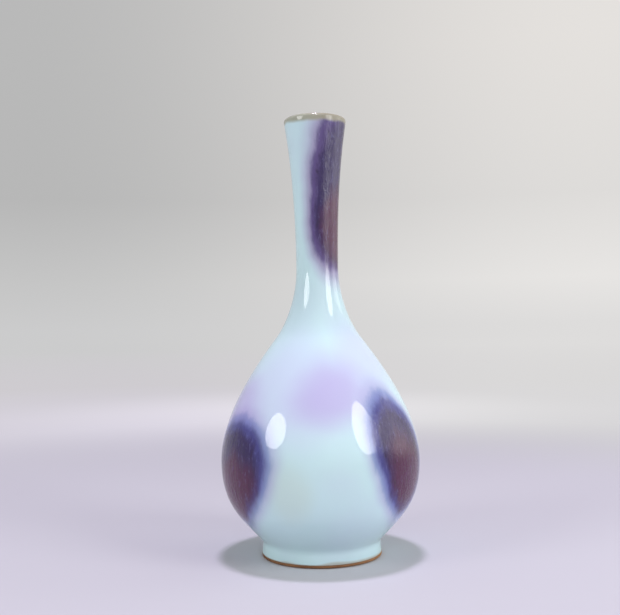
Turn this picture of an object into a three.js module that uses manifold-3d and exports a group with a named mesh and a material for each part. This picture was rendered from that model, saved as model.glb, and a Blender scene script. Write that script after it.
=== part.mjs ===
// A long-neck vase in stoneware, 250 mm tall: thrown sections luted with slip, under a thick pale glaze
// with purple copper splashes. Millimetres, +Z up, origin at the centre of the foot's resting face, -Y is
// the front and +X the right-hand side seen from the front.
import * as THREE from "three";
import { mergeVertices } from "three/addons/utils/BufferGeometryUtils.js";
import Module from "manifold-3d";

const wasm = await Module();
wasm.setup();

// Driving dimensions of the outside, measured on the glazed surface
const footRadius = 34.3; // foot ring's outer radius where it stands
const footTaper = 0.8; // how much narrower the foot ring is at its top
const footHeight = 8.4; // visible height of the foot ring
const bellyRadius = 56.8;
const bellyRise = 45.4; // from the top of the foot ring up to the widest point
const shoulderRadius = 24.4; // where the shoulder turns from bulging to hollow
const shoulderRise = 70; // from the widest point up to that turn
const waistRadius = 12.1; // narrowest point of the neck
const waistRise = 40; // from the shoulder's turn up to the narrowest point
const mouthRadius = 18; // outside of the mouth, just under the lip
const neckRise = 84.6; // from the narrowest point up to the lip
const lipRise = 1.6; // height of the lip's rounded top

// Thicknesses
const glaze = 1.0; // outside coat
const innerGlaze = 0.7; // lining
const baseGlaze = 0.8; // coat inside the foot ring
const bellyWall = 4.6; // clay alone, as are the next three
const heelWall = 6.2; // at the top of the foot ring
const neckWall = 2.8;
const lipWall = 2.2;
const floorThickness = 4.8;
const footWidth = 4.2; // clay width of the foot ring's standing edge
const footBevel = 0.7;
const bareEdge = 1.5; // height of unglazed clay at the bottom of the foot ring
const lipBand = 3.6; // height of the band where the glaze runs thin over the lip
const crownGlaze = 0.6; // coat on the very top of the lip
const slip = 0.8; // luting slip between two thrown sections
const inlayGap = 0.3; // round each splash

// Slopes of the outside, as radius gained for each millimetre of height
const heelAngle = (50 * Math.PI) / 180; // above the horizontal, where the belly leaves the foot ring
const shoulderSlope = 0.76;
const mouthFlare = 0.16;

// How far each wall curve holds its direction at an end, as a share of the curve's rise
const hold = {
  aboveHeel: 0.32,
  belowBelly: 0.58,
  aboveBelly: 0.37,
  belowShoulder: 0.3,
  aboveShoulder: 0.26,
  belowWaist: 0.4,
  aboveWaist: 0.36,
  belowMouth: 0.32,
};

// Copper splashes: the width and height of each oval, and where its middle is
const neckSplashWidth = 30;
const neckSplashHeight = 110;
const neckSplashDrop = 34; // from the mouth down
const leftSplashWidth = 42;
const leftSplashHeight = 60;
const leftSplashDrop = 2; // from the belly's widest point down
const rightSplashWidth = 38;
const rightSplashHeight = 70;
const rightSplashRise = 8; // from the belly's widest point up, as is the next
const backSplashWidth = 44;
const backSplashHeight = 62;
const backSplashRise = 6;

// Fineness
const segments = 36; // round the axis
const lipSteps = 5; // over the lip's rounded top
const splashPoints = 20; // round a splash
const shareTolerance = 1e-9;
const mergeDistance = 1e-4;

// Heights that follow
const bellyHeight = footHeight + bellyRise;
const shoulderHeight = bellyHeight + shoulderRise;
const waistHeight = shoulderHeight + waistRise;
const mouthHeight = waistHeight + neckRise;
const seatHeight = footHeight - slip / 2; // underside of the lower body
const footTopRadius = footRadius - footTaper;

const v2 = (r, z) => new THREE.Vector2(r, z);

// The outside of the wall, from the foot ring's top to the lip, as four curves.
// Each takes its two ends, the directions there, and how far each direction is held as a share of the rise.
function wallCurve(start, startWay, startHold, end, endWay, endHold) {
  const rise = end.y - start.y;
  const first = start.clone().addScaledVector(startWay.clone().normalize(), startHold * rise);
  const last = end.clone().addScaledVector(endWay.clone().normalize(), -endHold * rise);
  return new THREE.CubicBezierCurve(start, first, last, end);
}

const straightUp = v2(0, 1);
const heelWay = v2(Math.cos(heelAngle), Math.sin(heelAngle));
const shoulderWay = v2(-shoulderSlope, 1);
const mouthWay = v2(mouthFlare, 1);
const heelPoint = v2(footTopRadius, footHeight);
const bellyPoint = v2(bellyRadius, bellyHeight);
const shoulderPoint = v2(shoulderRadius, shoulderHeight);
const waistPoint = v2(waistRadius, waistHeight);
const mouthPoint = v2(mouthRadius, mouthHeight);

const lowerBelly = wallCurve(
  heelPoint, heelWay, hold.aboveHeel, bellyPoint, straightUp, hold.belowBelly,
);
const upperBelly = wallCurve(
  bellyPoint, straightUp, hold.aboveBelly, shoulderPoint, shoulderWay, hold.belowShoulder,
);
const shoulder = wallCurve(
  shoulderPoint, shoulderWay, hold.aboveShoulder, waistPoint, straightUp, hold.belowWaist,
);
const neck = wallCurve(waistPoint, straightUp, hold.aboveWaist, mouthPoint, mouthWay, hold.belowMouth);

// The share along a curve at which it reaches a height
function shareAt(curve, height) {
  let low = 0;
  let high = 1;
  while (high - low > shareTolerance) {
    const middle = (low + high) / 2;
    if (curve.getPoint(middle).y < height) {
      low = middle;
    } else {
      high = middle;
    }
  }
  return low;
}

// One station of the wall: its point outside, its way outwards, and the clay's thickness there
function station(curve, share, wallBelow, wallAbove) {
  const way = curve.getTangent(share);
  return {
    point: curve.getPoint(share),
    outwards: v2(way.y, -way.x),
    wall: wallBelow + (wallAbove - wallBelow) * share,
  };
}

function stationsBetween(curve, from, to, steps, wallBelow, wallAbove) {
  return Array.from({ length: steps + 1 }, (_, i) =>
    station(curve, from + ((to - from) * i) / steps, wallBelow, wallAbove),
  );
}

// Each thrown section's stations, with the slip's thickness left free between two sections
const belowBellySeam = shareAt(lowerBelly, bellyHeight - slip / 2);
const aboveBellySeam = shareAt(upperBelly, bellyHeight + slip / 2);
const belowNeckSeam = shareAt(shoulder, waistHeight - slip / 2);
const aboveNeckSeam = shareAt(neck, waistHeight + slip / 2);
const lipShare = shareAt(neck, mouthHeight + lipRise - lipBand);

const lowerStations = stationsBetween(lowerBelly, 0, belowBellySeam, 5, heelWall, bellyWall);
const upperStations = [
  ...stationsBetween(upperBelly, aboveBellySeam, 1, 4, bellyWall, bellyWall),
  ...stationsBetween(shoulder, 0, belowNeckSeam, 4, bellyWall, neckWall).slice(1),
];
const neckStations = stationsBetween(neck, aboveNeckSeam, lipShare, 3, neckWall, lipWall);
const lipStations = stationsBetween(neck, lipShare, 1, 1, neckWall, lipWall);
const wallStations = [...lowerStations, ...upperStations, ...neckStations];

// The surfaces of the coats and the clay, as distances in from the outside
const outside = (s) => s.point.clone();
const clayOutside = (s) => s.point.clone().addScaledVector(s.outwards, -glaze);
const clayInside = (s) => s.point.clone().addScaledVector(s.outwards, -(glaze + s.wall));
const hollow = (s) => s.point.clone().addScaledVector(s.outwards, -(glaze + s.wall + innerGlaze));

// The foot ring's slanting outer face, glazed and bare
const footFace = (z) => footRadius - (footTaper * z) / footHeight;
const footClayFace = (z) => footFace(z) - glaze;
const footInnerRadius = footClayFace(0) - footWidth;

// The lip's rounded top, as half an ellipse over the wall from one side to the other
function lipArc(outer, inner, rise) {
  const centre = outer.clone().add(inner).multiplyScalar(0.5);
  const across = outer.clone().sub(centre);
  return Array.from({ length: lipSteps - 1 }, (_, i) => {
    const turn = ((i + 1) * Math.PI) / lipSteps;
    return centre
      .clone()
      .addScaledVector(across, Math.cos(turn))
      .add(v2(0, rise * Math.sin(turn)));
  });
}

// Turns an outline round the axis. The outline goes up outside and comes down inside.
function turned(outline) {
  return new THREE.LatheGeometry(outline, segments).rotateX(Math.PI / 2);
}

const ring = (outline) => turned([...outline, outline[0].clone()]);

// A wall section between stations, from one surface to another
function wallSection(stations, outer, inner) {
  return ring([...stations.map(outer), ...stations.map(inner).reverse()]);
}

const seam = (below, above) => [below.at(-1), above[0]];

// The lower body closes in a floor, dished a little towards the middle
function lowerBodyGeometry() {
  return turned([
    v2(0, seatHeight),
    v2(footClayFace(seatHeight), seatHeight),
    ...lowerStations.map(clayOutside),
    ...lowerStations.map(clayInside).reverse(),
    v2(0, seatHeight + floorThickness),
  ]);
}

function footRingGeometry() {
  const top = seatHeight - slip;
  return ring([
    v2(footInnerRadius + footBevel, 0),
    v2(footFace(0) - footBevel, 0),
    v2(footFace(footBevel), footBevel),
    v2(footFace(bareEdge), bareEdge),
    v2(footClayFace(bareEdge), bareEdge),
    v2(footClayFace(top), top),
    v2(footInnerRadius, top),
    v2(footInnerRadius, footBevel),
  ]);
}

function footSlipGeometry() {
  const bottom = seatHeight - slip;
  return ring([
    v2(footInnerRadius, bottom),
    v2(footClayFace(bottom), bottom),
    v2(footClayFace(seatHeight), seatHeight),
    v2(footInnerRadius, seatHeight),
  ]);
}

function baseGlazeGeometry() {
  return turned([
    v2(0, seatHeight - baseGlaze),
    v2(footInnerRadius - baseGlaze, seatHeight - baseGlaze),
    v2(footInnerRadius - baseGlaze, bareEdge),
    v2(footInnerRadius, bareEdge),
    v2(footInnerRadius, seatHeight),
    v2(0, seatHeight),
  ]);
}

function neckGeometry() {
  const stations = [...neckStations, ...lipStations.slice(1)];
  const outer = stations.map(clayOutside);
  const inner = stations.map(clayInside);
  const top = lipArc(outer.at(-1), inner.at(-1), lipRise - crownGlaze);
  return ring([...outer, ...top, ...inner.reverse()]);
}

function lipGlazeGeometry() {
  const outer = lipStations.map(outside);
  const inner = lipStations.map(hollow);
  const clayOuter = lipStations.map(clayOutside);
  const clayInner = lipStations.map(clayInside);
  const top = lipArc(outer.at(-1), inner.at(-1), lipRise);
  const clayTop = lipArc(clayOuter.at(-1), clayInner.at(-1), lipRise - crownGlaze);
  return ring([
    ...outer,
    ...top,
    ...inner.reverse(),
    ...clayInner,
    ...clayTop.reverse(),
    ...clayOuter.reverse(),
  ]);
}

function innerGlazeGeometry() {
  return turned([
    v2(0, seatHeight + floorThickness),
    ...wallStations.map(clayInside),
    ...wallStations.map(hollow).reverse(),
    v2(0, seatHeight + floorThickness + innerGlaze),
  ]);
}

// The outside coat runs down the foot ring and stops at the bare edge
function outerGlazeGeometry() {
  return ring([
    v2(footFace(bareEdge), bareEdge),
    ...wallStations.map(outside),
    ...wallStations.map(clayOutside).reverse(),
    v2(footClayFace(seatHeight), seatHeight),
    v2(footClayFace(bareEdge), bareEdge),
  ]);
}

function solidOf(geometry) {
  const bare = geometry.clone().deleteAttribute("normal").deleteAttribute("uv");
  const merged = mergeVertices(bare, mergeDistance);
  return new wasm.Manifold(
    new wasm.Mesh({
      numProp: 3,
      vertProperties: merged.attributes.position.array,
      triVerts: new Uint32Array(merged.index.array),
    }),
  );
}

function geometryOf(solid) {
  const mesh = solid.getMesh();
  return new THREE.BufferGeometry()
    .setAttribute("position", new THREE.BufferAttribute(mesh.vertProperties, 3))
    .setIndex(new THREE.BufferAttribute(mesh.triVerts, 1));
}

// Splashes: each is an oval seen square on from its own side, turned in its plane, with a drawn-out end.
// Sides are in degrees round the axis from the front towards the right; heights are from the resting face.
const splashes = [
  {
    name: "neck_splash",
    width: neckSplashWidth,
    length: neckSplashHeight,
    height: mouthHeight - neckSplashDrop,
    side: 52,
    lean: -3,
    draw: 0.12,
  },
  {
    name: "left_splash",
    width: leftSplashWidth,
    length: leftSplashHeight,
    height: bellyHeight - leftSplashDrop,
    side: -52,
    lean: -8,
    draw: 0.1,
  },
  {
    name: "right_splash",
    width: rightSplashWidth,
    length: rightSplashHeight,
    height: bellyHeight + rightSplashRise,
    side: 47,
    lean: 6,
    draw: 0.1,
  },
  {
    name: "back_splash",
    width: backSplashWidth,
    length: backSplashHeight,
    height: bellyHeight + backSplashRise,
    side: 172,
    lean: 5,
    draw: 0.1,
  },
];

// A prism through the near wall, with the splash's outline grown by a margin
function splashPrism(splash, margin) {
  const outline = new THREE.Shape(
    Array.from({ length: splashPoints }, (_, i) => {
      const turn = (2 * Math.PI * i) / splashPoints;
      const halfWidth = (splash.width / 2 + margin) * (1 - splash.draw * Math.sin(turn));
      const halfLength = splash.length / 2 + margin;
      return v2(halfWidth * Math.cos(turn), halfLength * Math.sin(turn));
    }),
  );
  const depth = 2 * bellyRadius;
  const prism = new THREE.ExtrudeGeometry(outline, { depth, bevelEnabled: false });
  prism.rotateZ((splash.lean * Math.PI) / 180);
  prism.rotateX(Math.PI / 2);
  prism.rotateZ((splash.side * Math.PI) / 180);
  prism.translate(0, 0, splash.height);
  return solidOf(prism);
}

const clay = new THREE.MeshStandardMaterial({ color: 0x8a6748, roughness: 0.85, metalness: 0 });
const slipClay = new THREE.MeshStandardMaterial({ color: 0x9b7d60, roughness: 0.9, metalness: 0 });
const paleGlaze = new THREE.MeshStandardMaterial({ color: 0xc3e2e6, roughness: 0.12, metalness: 0 });
const thinGlaze = new THREE.MeshStandardMaterial({ color: 0xa39c80, roughness: 0.2, metalness: 0 });
const purpleGlaze = new THREE.MeshStandardMaterial({ color: 0x4d3670, roughness: 0.25, metalness: 0 });

const vase = new THREE.Group();
vase.name = "long_neck_vase";

function add(name, geometry, material) {
  const mesh = new THREE.Mesh(geometry, material);
  mesh.name = name;
  vase.add(mesh);
}

// Clay
add("foot_ring", footRingGeometry(), clay);
add("lower_body", lowerBodyGeometry(), clay);
add("upper_body", wallSection(upperStations, clayOutside, clayInside), clay);
add("neck", neckGeometry(), clay);
add("foot_slip", footSlipGeometry(), slipClay);
add("belly_slip", wallSection(seam(lowerStations, upperStations), clayOutside, clayInside), slipClay);
add("neck_slip", wallSection(seam(upperStations, neckStations), clayOutside, clayInside), slipClay);

// Glaze
add("base_glaze", baseGlazeGeometry(), paleGlaze);
add("inner_glaze", innerGlazeGeometry(), paleGlaze);
add("lip_glaze", lipGlazeGeometry(), thinGlaze);

let coat = solidOf(outerGlazeGeometry());
for (const splash of splashes) {
  add(splash.name, geometryOf(coat.intersect(splashPrism(splash, 0))), purpleGlaze);
  coat = coat.subtract(splashPrism(splash, inlayGap));
}
add("outer_glaze", geometryOf(coat), paleGlaze);

export default vase;
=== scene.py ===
"""A long-neck vase under a pale opalescent glaze with purple copper splashes, on a plain pale floor."""

import math
from dataclasses import dataclass

import bmesh
import bpy
from mathutils import Matrix, Vector

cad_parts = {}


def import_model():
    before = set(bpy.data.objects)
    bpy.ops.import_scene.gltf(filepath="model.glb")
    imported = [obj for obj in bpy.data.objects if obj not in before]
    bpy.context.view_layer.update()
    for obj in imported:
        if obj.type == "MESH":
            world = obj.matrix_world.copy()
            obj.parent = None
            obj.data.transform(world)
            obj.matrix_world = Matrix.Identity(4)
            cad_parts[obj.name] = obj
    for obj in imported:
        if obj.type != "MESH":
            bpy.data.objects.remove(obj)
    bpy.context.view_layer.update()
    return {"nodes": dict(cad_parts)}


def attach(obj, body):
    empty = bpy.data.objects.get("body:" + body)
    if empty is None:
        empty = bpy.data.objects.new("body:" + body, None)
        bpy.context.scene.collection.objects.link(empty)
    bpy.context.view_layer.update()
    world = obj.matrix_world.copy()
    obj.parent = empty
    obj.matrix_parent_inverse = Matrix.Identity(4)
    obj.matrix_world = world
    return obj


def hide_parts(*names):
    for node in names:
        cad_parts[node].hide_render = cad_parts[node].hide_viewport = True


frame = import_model()

MM = 0.001

# The outside of the glazed wall, as the CAD part has it
FOOT_RADIUS = 34.3 * MM
FOOT_TAPER = 0.8 * MM
FOOT_HEIGHT = 8.4 * MM
BELLY_RADIUS = 56.8 * MM
BELLY_HEIGHT = 53.8 * MM
SHOULDER_RADIUS = 24.4 * MM
SHOULDER_HEIGHT = 123.8 * MM
WAIST_RADIUS = 12.1 * MM
WAIST_HEIGHT = 163.8 * MM
MOUTH_RADIUS = 18 * MM
MOUTH_HEIGHT = 248.4 * MM
LIP_RISE = 1.6 * MM

# Thicknesses
GLAZE = 1.0 * MM
INNER_GLAZE = 0.7 * MM
BASE_GLAZE = 0.8 * MM
BELLY_WALL = 4.6 * MM
HEEL_WALL = 6.2 * MM
NECK_WALL = 2.8 * MM
LIP_WALL = 2.2 * MM
FLOOR_THICKNESS = 4.8 * MM
FOOT_WIDTH = 4.2 * MM
BARE_EDGE = 1.5 * MM
SLIP = 0.8 * MM
CROWN_SHARE = 0.6  # how much of the coat's thickness is left over the top of the lip

# Roundings
BEAD_ROUNDING = 0.5 * MM
HEEL_ROUNDING = 2.2 * MM
HEEL_GAP = 0.3 * MM  # least rise from the heel's rounding to the next point of the wall
HEEL_STATION = 4  # the point of the wall that the heel's rounding turns towards
FOOT_ROUNDING = 0.7 * MM
RECESS_ROUNDING = 1.2 * MM

# The wall's slopes at the heel, the shoulder and the mouth; at the belly and the waist it is upright
HEEL_ANGLE = math.radians(50)
SHOULDER_SLOPE = 0.76
MOUTH_FLARE = 0.16

# How far each wall curve is held to its slope at either end, as a share of its rise
HEEL_HOLD = 0.32
BELLY_HOLD_BELOW = 0.58
BELLY_HOLD_ABOVE = 0.37
SHOULDER_HOLD_BELOW = 0.3
SHOULDER_HOLD_ABOVE = 0.26
WAIST_HOLD_BELOW = 0.4
WAIST_HOLD_ABOVE = 0.36
MOUTH_HOLD = 0.32

SEAT_HEIGHT = FOOT_HEIGHT - SLIP / 2
TURN_STEPS = 160
CURVE_STEPS = 26
LIP_STEPS = 14
ROUNDING_STEPS = 5
NUDGE = 1e-4  # share of a curve over which its direction is taken
ON_AXIS = 1e-7  # a point nearer to the axis than this lies on it


# Outlines in the plane of radius and height
def bezier(start, first, last, end, share):
    rest = 1 - share
    return rest**3 * start + 3 * rest**2 * share * first + 3 * rest * share**2 * last + share**3 * end


def wall_curve(start, start_way, start_hold, end, end_way, end_hold):
    """Control points of a wall curve, from its ends, its directions there and how far each is held."""
    rise = end.y - start.y
    first = start + start_way.normalized() * start_hold * rise
    last = end - end_way.normalized() * end_hold * rise
    return start, first, last, end


UP = Vector((0, 1))
HEEL = Vector((FOOT_RADIUS - FOOT_TAPER, FOOT_HEIGHT))
BELLY = Vector((BELLY_RADIUS, BELLY_HEIGHT))
SHOULDER = Vector((SHOULDER_RADIUS, SHOULDER_HEIGHT))
WAIST = Vector((WAIST_RADIUS, WAIST_HEIGHT))
MOUTH = Vector((MOUTH_RADIUS, MOUTH_HEIGHT))
HEEL_WAY = Vector((math.cos(HEEL_ANGLE), math.sin(HEEL_ANGLE)))
SHOULDER_WAY = Vector((-SHOULDER_SLOPE, 1))
MOUTH_WAY = Vector((MOUTH_FLARE, 1))
LOW_BELLY = wall_curve(HEEL, HEEL_WAY, HEEL_HOLD, BELLY, UP, BELLY_HOLD_BELOW)
HIGH_BELLY = wall_curve(BELLY, UP, BELLY_HOLD_ABOVE, SHOULDER, SHOULDER_WAY, SHOULDER_HOLD_BELOW)
LOW_NECK = wall_curve(SHOULDER, SHOULDER_WAY, SHOULDER_HOLD_ABOVE, WAIST, UP, WAIST_HOLD_BELOW)
HIGH_NECK = wall_curve(WAIST, UP, WAIST_HOLD_ABOVE, MOUTH, MOUTH_WAY, MOUTH_HOLD)
# The wall from the foot to the mouth, with the clay's thickness at each curve's ends
WALL = [
    (LOW_BELLY, HEEL_WALL, BELLY_WALL),
    (HIGH_BELLY, BELLY_WALL, BELLY_WALL),
    (LOW_NECK, BELLY_WALL, NECK_WALL),
    (HIGH_NECK, NECK_WALL, LIP_WALL),
]


def wall_stations():
    """(point, outward direction, clay thickness) from the foot ring's top to the mouth."""
    stations = []
    for curve, wall_below, wall_above in WALL:
        for step in range(CURVE_STEPS + 1):
            if stations and step == 0:
                continue
            share = step / CURVE_STEPS
            ahead = bezier(*curve, min(1, share + NUDGE))
            behind = bezier(*curve, max(0, share - NUDGE))
            way = (ahead - behind).normalized()
            wall = wall_below + (wall_above - wall_below) * share
            stations.append((bezier(*curve, share), Vector((way.y, -way.x)), wall))
    return stations


STATIONS = wall_stations()


def outside(station):
    return station[0]


def clay_outside(station):
    return station[0] - station[1] * GLAZE


def clay_inside(station):
    return station[0] - station[1] * (GLAZE + station[2])


def hollow(station):
    return station[0] - station[1] * (GLAZE + station[2] + INNER_GLAZE)


def half_round(outer, inner, rise):
    """Points over a rounded top, from just past outer to just before inner."""
    centre = (outer + inner) / 2
    across = outer - centre
    points = []
    for step in range(1, LIP_STEPS):
        turn = math.pi * step / LIP_STEPS
        points.append(centre + across * math.cos(turn) + Vector((0, rise * math.sin(turn))))
    return points


def rounded(corner, before, after, radius):
    """A corner of an outline, rounded from the side before it to the side after it."""
    start = corner + (before - corner).normalized() * radius
    end = corner + (after - corner).normalized() * radius
    points = []
    for step in range(ROUNDING_STEPS + 1):
        share = step / ROUNDING_STEPS
        points.append((1 - share) ** 2 * start + 2 * share * (1 - share) * corner + share**2 * end)
    return points


def foot_face(height):
    """The radius of the foot's glazed outside."""
    return FOOT_RADIUS - FOOT_TAPER * height / FOOT_HEIGHT


FOOT_INNER_RADIUS = foot_face(0) - GLAZE - FOOT_WIDTH


# Pieces
def placed(name, data):
    """A new object in the scene."""
    item = bpy.data.objects.new(name, data)
    bpy.context.scene.collection.objects.link(item)
    return item


def turned(name, outline):
    """A mesh turned round Z from an outline, which is closed or has both its ends on the axis."""
    mesh = bmesh.new()
    closed = outline[0].x > ON_AXIS
    rows = []
    for point in outline:
        if point.x < ON_AXIS:
            rows.append([mesh.verts.new((0, 0, point.y))])
            continue
        row = []
        for step in range(TURN_STEPS):
            turn = 2 * math.pi * step / TURN_STEPS
            row.append(mesh.verts.new((point.x * math.cos(turn), point.x * math.sin(turn), point.y)))
        rows.append(row)
    pairs = list(zip(rows, rows[1:]))
    if closed:
        pairs.append((rows[-1], rows[0]))
    for low, high in pairs:
        for step in range(TURN_STEPS):
            after = (step + 1) % TURN_STEPS
            corners = [low[step % len(low)], low[after % len(low)]]
            corners += [high[after % len(high)], high[step % len(high)]]
            corners = list(dict.fromkeys(corners))
            if len(corners) > 2:
                mesh.faces.new(corners)
    bmesh.ops.recalc_face_normals(mesh, faces=mesh.faces)
    data = bpy.data.meshes.new(name)
    mesh.to_mesh(data)
    mesh.free()
    for face in data.polygons:
        face.use_smooth = True
    return placed(name, data)


def glaze_coat():
    """The outside coat, from the bead above the bare edge up over the lip and down to the lining."""
    low = Vector((foot_face(BARE_EDGE), BARE_EDGE))
    low_inside = Vector((foot_face(BARE_EDGE) - GLAZE, BARE_EDGE))
    bead = rounded(low, low_inside, HEEL, BEAD_ROUNDING)
    corner = rounded(HEEL, low, outside(STATIONS[HEEL_STATION]), HEEL_ROUNDING)
    wall = [outside(s) for s in STATIONS if outside(s).y > corner[-1].y + HEEL_GAP]
    mouth = STATIONS[-1]
    top = half_round(outside(mouth), hollow(mouth), LIP_RISE)
    clay_top = half_round(clay_outside(mouth), clay_inside(mouth), LIP_RISE - CROWN_SHARE * GLAZE)
    down = [clay_outside(s) for s in reversed(STATIONS)]
    foot = Vector((foot_face(SEAT_HEIGHT) - GLAZE, SEAT_HEIGHT))
    outline = bead + corner + wall + top + [hollow(mouth), clay_inside(mouth)]
    outline += clay_top[::-1] + down + [foot, low_inside]
    return turned("glaze_coat", outline)


def lining():
    """The coat on the inside, from the middle of the floor up to the mouth."""
    floor_top = SEAT_HEIGHT + FLOOR_THICKNESS
    outline = [Vector((0, floor_top))] + [clay_inside(s) for s in STATIONS]
    outline += [hollow(s) for s in reversed(STATIONS)] + [Vector((0, floor_top + INNER_GLAZE))]
    return turned("lining", outline)


def foot_clay():
    """The foot ring, bare at its standing edge."""
    top = SEAT_HEIGHT - SLIP
    inner = Vector((FOOT_INNER_RADIUS, 0))
    inner_top = Vector((FOOT_INNER_RADIUS, top))
    outer = Vector((foot_face(0), 0))
    shelf = Vector((foot_face(BARE_EDGE), BARE_EDGE))
    outline = rounded(outer, inner, shelf, FOOT_ROUNDING)
    outline += [shelf, Vector((foot_face(BARE_EDGE) - GLAZE, BARE_EDGE))]
    outline += [Vector((foot_face(top) - GLAZE, top)), inner_top]
    outline += rounded(inner, inner_top, outer, FOOT_ROUNDING)
    return turned("foot_clay", outline)


def base_coat():
    """The coat in the recess under the foot."""
    ceiling = SEAT_HEIGHT - BASE_GLAZE
    middle = Vector((0, ceiling))
    corner = Vector((FOOT_INNER_RADIUS - BASE_GLAZE, ceiling))
    low = Vector((corner.x, BARE_EDGE))
    outline = [middle] + rounded(corner, middle, low, RECESS_ROUNDING)
    outline += [low, Vector((FOOT_INNER_RADIUS, BARE_EDGE))]
    outline += [Vector((FOOT_INNER_RADIUS, SEAT_HEIGHT)), Vector((0, SEAT_HEIGHT))]
    return turned("base_coat", outline)


def dress(piece, material, slot, *nodes):
    """Gives a piece its finish and its body, and hides the CAD nodes that it stands for. The slot is not
    used.
    """
    piece.data.materials.append(material)
    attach(piece, "root")
    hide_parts(*nodes)


def repaint(node, material):
    """Gives a CAD node a finish of its own."""
    slots = frame["nodes"][node].data.materials
    slots.clear()
    slots.append(material)


# Materials
MIX_FIRST = 6  # sockets of a Mix node that hold colours
MIX_SECOND = 7
MIX_RESULT = 2


class Nodes:
    """A small builder of node trees, where a value is a number, a colour or another node's socket."""

    def __init__(self, tree):
        self.tree = tree

    def add(self, kind):
        return self.tree.nodes.new(kind)

    def put(self, value, socket):
        if isinstance(value, bpy.types.NodeSocket):
            self.tree.links.new(value, socket)
        else:
            socket.default_value = value

    def math(self, operation, first, second=0.0):
        node = self.add("ShaderNodeMath")
        node.operation = operation
        self.put(first, node.inputs[0])
        self.put(second, node.inputs[1])
        return node.outputs[0]

    def vector(self, operation, *values):
        node = self.add("ShaderNodeVectorMath")
        node.operation = operation
        for value, socket in zip(values, node.inputs):
            self.put(value, socket)
        return node

    def split(self, vector):
        """The X, Y and Z of a vector, by name."""
        node = self.add("ShaderNodeSeparateXYZ")
        self.put(vector, node.inputs[0])
        return node.outputs

    def ease(self, value, span, start=0.0, end=1.0):
        """Goes softly from start to end while the value goes through the span."""
        node = self.add("ShaderNodeMapRange")
        node.interpolation_type = "SMOOTHSTEP"
        for number, socket in zip((value, *span, start, end), node.inputs):
            self.put(number, socket)
        return node.outputs[0]

    def ramp(self, factor, stops, smooth):
        """Colours along a factor, from (position, colour) stops."""
        node = self.add("ShaderNodeValToRGB")
        self.put(factor, node.inputs[0])
        node.color_ramp.interpolation = "EASE" if smooth else "LINEAR"
        while len(node.color_ramp.elements) < len(stops):
            node.color_ramp.elements.new(1.0)
        for element, (position, colour) in zip(node.color_ramp.elements, stops):
            element.position = position
            element.color = (*colour, 1)
        return node.outputs[0]

    def mix(self, share, first, second):
        """Two colours mixed, by the share that is the second."""
        node = self.add("ShaderNodeMix")
        node.data_type = "RGBA"
        self.put(share, node.inputs[0])
        for value, place in ((first, MIX_FIRST), (second, MIX_SECOND)):
            self.put((*value, 1) if isinstance(value, tuple) else value, node.inputs[place])
        return node.outputs[MIX_RESULT]

    def blend(self, share, first, second):
        """Two surfaces or lights blended, by the share that is the second."""
        node = self.add("ShaderNodeMixShader")
        for value, socket in zip((share, first, second), node.inputs):
            self.put(value, socket)
        return node.outputs[0]


class Shader(Nodes):
    """The nodes of a new material, laid out in the object's own coordinates."""

    def __init__(self, name):
        self.material = bpy.data.materials.new(name)
        self.material.use_nodes = True
        super().__init__(self.material.node_tree)
        self.surface = self.tree.nodes["Principled BSDF"]
        self.place = self.add("ShaderNodeTexCoord").outputs["Object"]

    def give(self, name, value):
        """Sets an input of the surface."""
        self.put(value, self.surface.inputs[name])

    def noise(self, scale, detail=3.0, roughness=0.5, upright=1.0):
        """Noise of so many waves a metre round the wall, and upright times as many up it."""
        mapping = self.add("ShaderNodeMapping")
        self.put(self.place, mapping.inputs["Vector"])
        mapping.inputs["Scale"].default_value = (1, 1, upright)
        node = self.add("ShaderNodeTexNoise")
        self.put(mapping.outputs[0], node.inputs["Vector"])
        node.inputs["Scale"].default_value = scale
        node.inputs["Detail"].default_value = detail
        node.inputs["Roughness"].default_value = roughness
        return node

    def height(self):
        return self.split(self.place)["Z"]

    def wobbled(self, scale, reach):
        """The place, pushed about by soft noise, up to a reach either way."""
        noise = self.noise(scale, detail=2).outputs["Color"]
        shift = self.vector("MULTIPLY_ADD", noise, (reach * 2,) * 3, (-reach,) * 3)
        return self.vector("ADD", self.place, shift.outputs[0]).outputs[0]

    def oval(self, place, spot):
        """How far out from a spot's middle a point lies round and up the wall, as 1 at the spot's edge."""
        rotation = self.add("ShaderNodeVectorRotate")
        rotation.rotation_type = "Z_AXIS"
        rotation.inputs["Angle"].default_value = math.radians(-spot.side)
        self.put(place, rotation.inputs["Vector"])
        facing = self.split(rotation.outputs[0])
        angle = self.math("ARCTAN2", facing["X"], self.math("MULTIPLY", facing["Y"], -1.0))
        up = self.math("SUBTRACT", facing["Z"], spot.height)
        leant = self.math("MULTIPLY", up, -spot.lean)
        across = self.math("DIVIDE", self.math("ADD", angle, leant), math.radians(spot.half_angle))
        above = self.math("DIVIDE", self.math("MAXIMUM", up, 0.0), spot.above)
        below = self.math("DIVIDE", self.math("MINIMUM", up, 0.0), spot.below)
        total = self.math("MULTIPLY", across, across)
        for part in (above, below):
            total = self.math("ADD", total, self.math("MULTIPLY", part, part))
        return self.math("SQRT", total)

    def bump(self, height, strength, depth, under=None):
        """A normal that a height raises, over another normal where one is given."""
        node = self.add("ShaderNodeBump")
        self.put(height, node.inputs["Height"])
        self.put(strength, node.inputs["Strength"])
        node.inputs["Distance"].default_value = depth
        if under is not None:
            self.put(under, node.inputs["Normal"])
        return node.outputs[0]


def nearest(shader, place, spots):
    """The smallest of the distances from a group of spots."""
    distances = [shader.oval(place, spot) for spot in spots]
    least = distances[0]
    for distance in distances[1:]:
        least = shader.math("MINIMUM", least, distance)
    return least


def centred(shader, value, reach):
    """A noise value turned into a shift either way."""
    return shader.math("MULTIPLY", shader.math("SUBTRACT", value, 0.5), 2 * reach)


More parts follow.
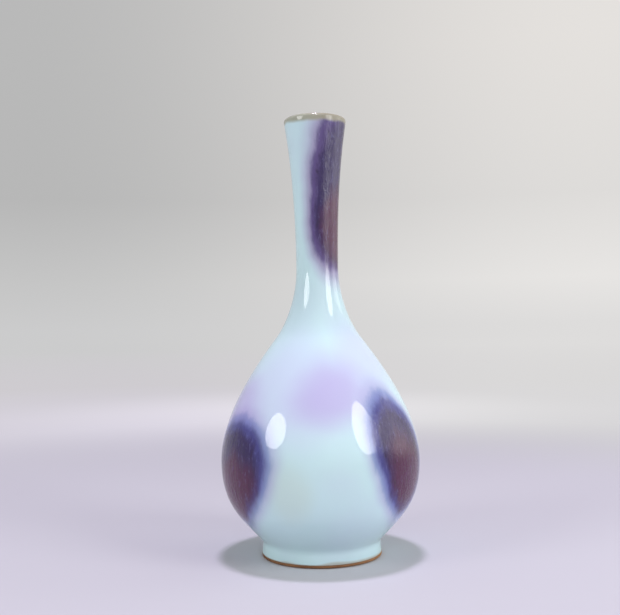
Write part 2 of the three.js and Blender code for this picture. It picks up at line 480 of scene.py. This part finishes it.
@dataclass
class Spot:
    """An oval on the wall, with its middle and its reach round, above and below that middle."""

    side: float  # degrees from the front towards the right
    height: float
    half_angle: float  # degrees
    above: float
    below: float
    lean: float = 0.0  # radians round for each metre up


SPLASHES = [
    Spot(60, 192 * MM, 90, 84 * MM, 37 * MM),
    Spot(-62, 50 * MM, 35, 33 * MM, 32 * MM, 4.0),
    Spot(55, 58 * MM, 28, 40 * MM, 35 * MM, -4.0),
    Spot(172, 58 * MM, 30, 34 * MM, 31 * MM, 1.0),
]
# Where the copper burnt to plum inside the splashes
PLUMS = [
    Spot(66, 188 * MM, 60, 26 * MM, 26 * MM),
    Spot(-60, 43 * MM, 24, 20 * MM, 24 * MM, 3.0),
    Spot(57, 51 * MM, 20, 24 * MM, 24 * MM, -3.0),
    Spot(176, 52 * MM, 20, 20 * MM, 22 * MM),
]
LILAC_VEILS = [
    Spot(10, 96 * MM, 34, 22 * MM, 20 * MM),
    Spot(-66, 82 * MM, 30, 22 * MM, 24 * MM),
    Spot(118, 98 * MM, 32, 22 * MM, 20 * MM),
]
MILK_VEILS = [
    Spot(-25, 92 * MM, 55, 40 * MM, 26 * MM),
    Spot(45, 112 * MM, 45, 26 * MM, 22 * MM),
    Spot(160, 100 * MM, 60, 36 * MM, 26 * MM),
]
CREAM_VEILS = [
    Spot(-18, 44 * MM, 16, 20 * MM, 20 * MM),
    Spot(96, 104 * MM, 14, 24 * MM, 20 * MM),
    Spot(-130, 60 * MM, 24, 26 * MM, 24 * MM),
]

AQUA = (0.62, 0.845, 0.865)
CREAM = (0.62, 0.74, 0.64)
MILK = (0.60, 0.69, 0.84)
LILAC = (0.50, 0.43, 0.72)
OLIVE = (0.37, 0.35, 0.235)
BURNT = (0.36, 0.24, 0.12)
PLUM = (0.080, 0.012, 0.055)
DARK_INDIGO = (0.030, 0.015, 0.090)
INDIGO = (0.062, 0.060, 0.235)
BLUE = (0.15, 0.165, 0.46)
LAVENDER = (0.40, 0.35, 0.64)
PALE_FRINGE = (0.55, 0.62, 0.80)
CRYSTAL = (0.22, 0.21, 0.46)
PIT = (0.022, 0.012, 0.035)
VIOLET = (0.105, 0.070, 0.21)
MAUVE = (0.31, 0.25, 0.44)
SOFT_MAUVE = (0.44, 0.39, 0.60)
LINING_DEEP = (0.55, 0.72, 0.72)
LINING_PALE = (0.63, 0.76, 0.80)
BASE_DEEP = (0.50, 0.62, 0.58)
BASE_PALE = (0.60, 0.72, 0.74)
CLAY_DARK = (0.20, 0.085, 0.035)
CLAY_LIGHT = (0.34, 0.17, 0.07)
SLIP_DARK = (0.30, 0.19, 0.11)
SLIP_LIGHT = (0.40, 0.27, 0.17)
SPECK = (0.06, 0.035, 0.02)

# The pale glaze. Scales are in waves a metre, and a span is where something turns softly.
CLOUD_SCALE = 16
CLOUD_SPAN = (0.45, 0.75)
CLOUD_STRENGTH = 0.4
VEIL_SCALE = 24
VEIL_DRIFT = 8 * MM
VEIL_SPAN = (0.25, 1.25)
# Each kind of veil, with its colour and its strength
VEILS = [(MILK_VEILS, MILK, 0.9), (CREAM_VEILS, CREAM, 0.4), (LILAC_VEILS, LILAC, 0.75)]


def pale_colour(shader):
    """The pale glaze: aqua where it is thick, milky on the shoulder, cream and lilac in veils."""
    cloud = shader.noise(CLOUD_SCALE).outputs[0]
    wide = shader.wobbled(VEIL_SCALE, VEIL_DRIFT)
    colour = shader.mix(shader.ease(cloud, CLOUD_SPAN, 0, CLOUD_STRENGTH), AQUA, MILK)
    for spots, tint, strength in VEILS:
        veil = shader.ease(nearest(shader, wide, spots), VEIL_SPAN, strength, 0)
        colour = shader.mix(veil, colour, tint)
    return colour


# A splash's colours from its middle out, and where each lies when the splash's edge is at 1
BAND_EDGES = (0.0, 0.60, 0.78, 0.92, 1.05, 1.25)
BELLY_BANDS = (DARK_INDIGO, DARK_INDIGO, INDIGO, BLUE, LAVENDER, PALE_FRINGE)
NECK_BANDS = (DARK_INDIGO, DARK_INDIGO, VIOLET, MAUVE, SOFT_MAUVE, PALE_FRINGE)
NECK_SPAN = (SHOULDER_HEIGHT, SHOULDER_HEIGHT + 20 * MM)
MOTTLE_RAGGED = 0.10
STREAK_RAGGED = 0.05
PLUM_RAGGED = 0.35
PLUM_SPAN = (0.5, 1.15)
CRYSTAL_SPAN = (0.54, 0.70)
CRYSTAL_STRENGTH = 0.28
PIT_SPAN = (0.30, 0.45)
PIT_STRENGTH = 0.55


def splash_colour(shader, depth, inside, plum, streaks, mottle):
    """Copper colours from a splash's middle out: plum, dark indigo, indigo, blue, lavender."""
    ragged = shader.math("ADD", depth, centred(shader, mottle, MOTTLE_RAGGED))
    ragged = shader.math("ADD", ragged, centred(shader, streaks, STREAK_RAGGED))
    share = shader.math("DIVIDE", ragged, BAND_EDGES[-1])
    bands = []
    for tints in (BELLY_BANDS, NECK_BANDS):
        stops = [(edge / BAND_EDGES[-1], tint) for edge, tint in zip(BAND_EDGES, tints)]
        bands.append(shader.ramp(share, stops, smooth=True))
    colour = shader.mix(shader.ease(shader.height(), NECK_SPAN), *bands)
    burnt = shader.math("ADD", plum, centred(shader, mottle, PLUM_RAGGED))
    colour = shader.mix(shader.ease(burnt, PLUM_SPAN, 1, 0), colour, PLUM)
    crystals = shader.math("MULTIPLY", shader.ease(streaks, CRYSTAL_SPAN), inside)
    colour = shader.mix(shader.math("MULTIPLY", crystals, CRYSTAL_STRENGTH), colour, CRYSTAL)
    pits = shader.math("MULTIPLY", shader.ease(streaks, PIT_SPAN, 1, 0), inside)
    return shader.mix(shader.math("MULTIPLY", pits, PIT_STRENGTH), colour, PIT)


# Where the glaze runs thin: over the lip, from a span below its top, and above the bare foot edge
LIP_TOP = MOUTH_HEIGHT + LIP_RISE
THIN_SPAN = (LIP_TOP - 4.8 * MM, LIP_TOP - 2.6 * MM)
THIN_STRENGTH = 0.85
THIN_SCALE = 90
THIN_DRIFT = 1.4 * MM
RUN_SCALE = 22
RUN_SPAN = (0.5, 0.7)
RUN_RISE = 2.2 * MM
BURNT_SPAN = (1.0 * MM, 2.6 * MM)
BURNT_STRENGTH = 0.5


def thin_colour(shader, colour):
    """The glaze runs thin over the lip, and here and there just above the bare foot edge."""
    height = shader.height()
    drift = centred(shader, shader.noise(THIN_SCALE, detail=2).outputs[0], THIN_DRIFT)
    thin = shader.ease(shader.math("ADD", height, drift), THIN_SPAN, 0, THIN_STRENGTH)
    colour = shader.mix(thin, colour, OLIVE)
    run = shader.ease(shader.noise(RUN_SCALE, detail=1, upright=0.1).outputs[0], RUN_SPAN)
    edge = shader.math("SUBTRACT", height, shader.math("MULTIPLY", run, RUN_RISE))
    return shader.mix(shader.ease(edge, BURNT_SPAN, BURNT_STRENGTH, 0), colour, BURNT)


# How the splashes wander and fade, and the skin of the glaze
SPLASH_SCALE = 32
SPLASH_DRIFT = 3.5 * MM
COVER_SPAN = (0.76, 1.26)
INSIDE_SPAN = (0.6, 1.0)
STREAK_SCALE = 620
MOTTLE_SCALE = 120
COARSE_SCALE = 300
GLAZE_ROUGHNESS = 0.05
STREAK_ROUGHNESS = 0.05
SWELL_SCALE = 26
SWELL_STRENGTH = 0.25
SWELL_DEPTH = 0.4 * MM
SKIN_STRENGTH = 0.7
SKIN_DEPTH = 0.36 * MM


def glaze_material():
    """The outside glaze, in which the copper splashes melt into the pale glaze round them."""
    shader = Shader("splashed_glaze")
    near = shader.wobbled(SPLASH_SCALE, SPLASH_DRIFT)
    streaks = shader.noise(STREAK_SCALE, detail=5, roughness=0.7, upright=0.3).outputs[0]
    mottle = shader.noise(MOTTLE_SCALE, detail=4, roughness=0.6, upright=0.4).outputs[0]
    depth = nearest(shader, near, SPLASHES)
    inside = shader.ease(depth, INSIDE_SPAN, 1, 0)
    copper = splash_colour(shader, depth, inside, nearest(shader, near, PLUMS), streaks, mottle)
    covered = shader.mix(shader.ease(depth, COVER_SPAN, 1, 0), pale_colour(shader), copper)
    shader.give("Base Color", thin_colour(shader, covered))
    rough = shader.math("MULTIPLY", shader.math("MULTIPLY", streaks, inside), STREAK_ROUGHNESS)
    shader.give("Roughness", shader.math("ADD", rough, GLAZE_ROUGHNESS))
    shader.give("IOR", 1.52)

    # Soft undulation all over, and a streaky skin in the splashes
    swell = shader.noise(SWELL_SCALE, detail=1).outputs[0]
    swollen = shader.bump(swell, SWELL_STRENGTH, SWELL_DEPTH)
    coarse = shader.noise(COARSE_SCALE, roughness=0.6, upright=0.22).outputs[0]
    relief = shader.math("ADD", streaks, coarse)
    skin = shader.math("MULTIPLY", inside, SKIN_STRENGTH)
    shader.give("Normal", shader.bump(relief, skin, SKIN_DEPTH, under=swollen))
    return shader.material


# The clouds of the plain glaze
PLAIN_SCALE = 40
PLAIN_SPAN = (0.4, 0.65)
PLAIN_BUMP = 0.3
PLAIN_DEPTH = 0.4 * MM


def plain_glaze_material(name, deep, pale):
    """A glaze without copper, for the lining and the base."""
    shader = Shader(name)
    cloud = shader.noise(PLAIN_SCALE).outputs[0]
    shader.give("Base Color", shader.mix(shader.ease(cloud, PLAIN_SPAN), deep, pale))
    shader.give("Roughness", 0.09)
    shader.give("Coat Weight", 0.3)
    shader.give("Normal", shader.bump(cloud, PLAIN_BUMP, PLAIN_DEPTH))
    return shader.material


# The grain, flashing and specks of the clay
GRAIN_SCALE = 900
GRAIN_SPAN = (0.3, 0.7)
GRAIN_ROUGHNESS = (0.6, 0.9)
GRAIN_BUMP = 0.5
GRAIN_DEPTH = 0.15 * MM
FLASH_SCALE = 45
FLASH_SPAN = (0.35, 0.7)
SPECK_SPAN = (0.60, 0.72)
SPECK_STRENGTH = 0.6


def clay_material(name, dark, light):
    """Bare clay, flashed lighter and darker by the fire, with a rough dark-specked grain."""
    shader = Shader(name)
    grain = shader.noise(GRAIN_SCALE, detail=6, roughness=0.7).outputs[0]
    flash = shader.noise(FLASH_SCALE, detail=2).outputs[0]
    colour = shader.mix(shader.ease(flash, FLASH_SPAN), dark, light)
    specks = shader.ease(grain, SPECK_SPAN, 0, SPECK_STRENGTH)
    shader.give("Base Color", shader.mix(specks, colour, SPECK))
    shader.give("Roughness", shader.ease(grain, GRAIN_SPAN, *GRAIN_ROUGHNESS))
    shader.give("Normal", shader.bump(grain, GRAIN_BUMP, GRAIN_DEPTH))
    return shader.material


# Stage, light and camera
CAMERA_DISTANCE = 512.5 * MM
CAMERA_HEIGHT = 130 * MM
FOCAL_PIXELS = 886.6
IMAGE_WIDTH = 620
SENSOR_WIDTH = 36
NEAREST_SEEN = 0.01
TILT = math.radians(1.23)
YAW = math.radians(0.51)
ROLL = math.radians(-0.96)


def camera():
    data = bpy.data.cameras.new("camera")
    data.sensor_width = SENSOR_WIDTH
    data.lens = FOCAL_PIXELS / IMAGE_WIDTH * SENSOR_WIDTH
    data.clip_start = NEAREST_SEEN
    eye = placed("camera", data)
    stand = Matrix.Translation((0, -CAMERA_DISTANCE, CAMERA_HEIGHT))
    aim = Matrix.Rotation(YAW, 4, "Z") @ Matrix.Rotation(math.pi / 2 + TILT, 4, "X")
    eye.matrix_world = stand @ aim @ Matrix.Rotation(ROLL, 4, "Z")
    bpy.context.scene.camera = eye


WHITE = (1, 1, 1)
OVERHEAD_TINT = (0.87, 0.76, 1.0)
BELLY_MIDDLE = (0, 0, 0.08)


def softbox(name, place, target, shape, width, height, brightness, colour=WHITE):
    """An area lamp of an even brightness, where 1 is as bright as lit white paper."""
    data = bpy.data.lights.new(name, "AREA")
    data.shape = shape
    data.size = width
    data.size_y = height
    area = width * height * (math.pi / 4 if shape == "ELLIPSE" else 1)
    data.energy = brightness * math.pi * area
    data.color = colour
    lamp = placed(name, data)
    lamp.location = place
    lamp.rotation_mode = "QUATERNION"
    lamp.rotation_quaternion = (Vector(target) - Vector(place)).to_track_quat("-Z", "Y")


def lamps():
    """A soft box at each side in front, a large dim panel at the right, and a lamp overhead."""
    softbox(
        "left_box", place=(-0.84, -0.55, 0.53), target=BELLY_MIDDLE,
        shape="ELLIPSE", width=0.48, height=0.46, brightness=6,
    )
    softbox(
        "right_box", place=(0.84, -0.55, 0.53), target=BELLY_MIDDLE,
        shape="ELLIPSE", width=0.50, height=0.70, brightness=6,
    )
    softbox(
        "side_panel", place=(1.15, 0.24, 0.36), target=BELLY_MIDDLE,
        shape="RECTANGLE", width=0.55, height=0.60, brightness=1.8,
    )
    softbox(
        "overhead", place=(0.0, 0.0, 1.7), target=(0, 0, 0),
        shape="ELLIPSE", width=0.22, height=0.22, brightness=125, colour=OVERHEAD_TINT,
    )


def seen(nodes):
    """1 for the rays that show a background: from the camera, in a gloss or through glass."""
    path = nodes.add("ShaderNodeLightPath").outputs
    total = path["Is Camera Ray"]
    for name in ("Is Glossy Ray", "Is Transmission Ray"):
        total = nodes.math("MAXIMUM", total, path[name])
    return total


# The backdrop's colours by the rise of the line of sight, on its left and on its right; painted shade
# makes the left much darker than the right
WALL_STEPS = (0.0, 0.05, 0.14, 0.3)
LEFT_WALL = [(0.60, 0.60, 0.605), (0.56, 0.56, 0.56), (0.475, 0.475, 0.475), (0.485, 0.485, 0.485)]
RIGHT_WALL = [(0.73, 0.72, 0.715), (0.80, 0.785, 0.77), (0.73, 0.715, 0.70), (0.78, 0.755, 0.73)]
# How far to the left and to the right the two have their full colours
BACKDROP_SPAN = (-0.32, 0.32)

FLOOR_RADIUS = 8
FLOOR_SIDES = 128
FLOOR_DROP = 0.2 * MM
FLOOR_NEAR = (0.57, 0.565, 0.60)
FAR_SPAN = (0.28, 0.75)  # where the near floor, with the object's shadow, turns into the far one
# The far floor's colours by distance from the object, with painted shade that makes the left darker than
# the right; the last ones are the backdrop's lowest
FAR_STEPS = (0.5, 0.9, 1.6, 5.0)
LEFT_FLOOR = [(0.64, 0.61, 0.70), (0.66, 0.63, 0.70), (0.62, 0.60, 0.63), LEFT_WALL[0]]
RIGHT_FLOOR = [(0.66, 0.65, 0.67), (0.70, 0.69, 0.70), (0.70, 0.69, 0.69), RIGHT_WALL[0]]
POOL_PLACE = (-0.06, 0.85, 0)  # a pool of light behind the object
POOL_SPAN = (0.0, 0.55)
POOL_GAIN = 1.16


def floor_material():
    """Matt near the object, where its shadow falls, and beyond that the colours of the far floor, which
    glow with painted light: a painted pool of light behind the object and painted shade on the left.
    """
    shader = Shader("floor")
    shader.give("Base Color", (*FLOOR_NEAR, 1))
    shader.give("Roughness", 0.9)
    shader.give("Specular IOR Level", 0.1)
    away = shader.vector("LENGTH", shader.place).outputs["Value"]
    share = shader.math("DIVIDE", away, FAR_STEPS[-1])
    tints = []
    for colours in (LEFT_FLOOR, RIGHT_FLOOR):
        stops = [(distance / FAR_STEPS[-1], colour) for distance, colour in zip(FAR_STEPS, colours)]
        tints.append(shader.ramp(share, stops, smooth=False))
    aside = shader.math("DIVIDE", shader.split(shader.place)["X"], away)
    pool = shader.vector("DISTANCE", shader.place, POOL_PLACE).outputs["Value"]
    # The far floor glows with painted light: brighter in a painted pool behind the object, and darker on
    # the left with painted shade
    glow = shader.add("ShaderNodeEmission")
    shader.put(shader.mix(shader.ease(aside, BACKDROP_SPAN), *tints), glow.inputs["Color"])
    shader.put(shader.ease(pool, POOL_SPAN, POOL_GAIN, 1), glow.inputs["Strength"])
    far = shader.math("MULTIPLY", shader.ease(away, FAR_SPAN), seen(shader))
    blended = shader.blend(far, shader.surface.outputs[0], glow.outputs[0])
    shader.put(blended, shader.tree.nodes["Material Output"].inputs["Surface"])
    return shader.material


def floor():
    """A round floor that melts into the backdrop beyond the object's shadow."""
    mesh = bmesh.new()
    bmesh.ops.create_circle(mesh, cap_ends=True, radius=FLOOR_RADIUS, segments=FLOOR_SIDES)
    data = bpy.data.meshes.new("floor")
    mesh.to_mesh(data)
    mesh.free()
    data.materials.append(floor_material())
    ground = placed("floor", data)
    ground.location.z = -FLOOR_DROP


AMBIENT = (0.97, 0.98, 1.0)
AMBIENT_STRENGTH = 0.42


def world():
    """Even light all round, and a grey backdrop where it is seen, much darker on the left with painted
    shade.
    """
    sky = bpy.data.worlds.new("world")
    bpy.context.scene.world = sky
    sky.use_nodes = True
    nodes = Nodes(sky.node_tree)
    light = nodes.tree.nodes["Background"]
    nodes.put((*AMBIENT, 1), light.inputs["Color"])
    nodes.put(AMBIENT_STRENGTH, light.inputs["Strength"])
    sight = nodes.split(nodes.add("ShaderNodeTexCoord").outputs["Generated"])
    walls = []
    for colours in (LEFT_WALL, RIGHT_WALL):
        walls.append(nodes.ramp(sight["Z"], list(zip(WALL_STEPS, colours)), smooth=False))
    # The backdrop seen by the camera, with painted shade that darkens its left side
    backdrop = nodes.add("ShaderNodeBackground")
    nodes.put(nodes.mix(nodes.ease(sight["X"], BACKDROP_SPAN), *walls), backdrop.inputs["Color"])
    shown = nodes.blend(seen(nodes), light.outputs[0], backdrop.outputs[0])
    nodes.put(shown, nodes.tree.nodes["World Output"].inputs["Surface"])


camera()
world()
floor()
lamps()

splashes = sorted(node for node in frame["nodes"] if node.endswith("_splash"))
dress(glaze_coat(), glaze_material(), "pale_glaze", "outer_glaze", "lip_glaze", *splashes)
lining_glaze = plain_glaze_material("lining_glaze", LINING_DEEP, LINING_PALE)
dress(lining(), lining_glaze, "pale_glaze", "inner_glaze")
base_glaze = plain_glaze_material("base_glaze", BASE_DEEP, BASE_PALE)
dress(base_coat(), base_glaze, "pale_glaze", "base_glaze")
clay = clay_material("fired_clay", CLAY_DARK, CLAY_LIGHT)
dress(foot_clay(), clay, "clay", "foot_ring")
for node in ("lower_body", "upper_body", "neck"):
    repaint(node, clay)
slip = clay_material("luting_slip", SLIP_DARK, SLIP_LIGHT)
for node in ("foot_slip", "belly_slip", "neck_slip"):
    repaint(node, slip)

bpy.context.scene.view_settings.view_transform = "Standard"
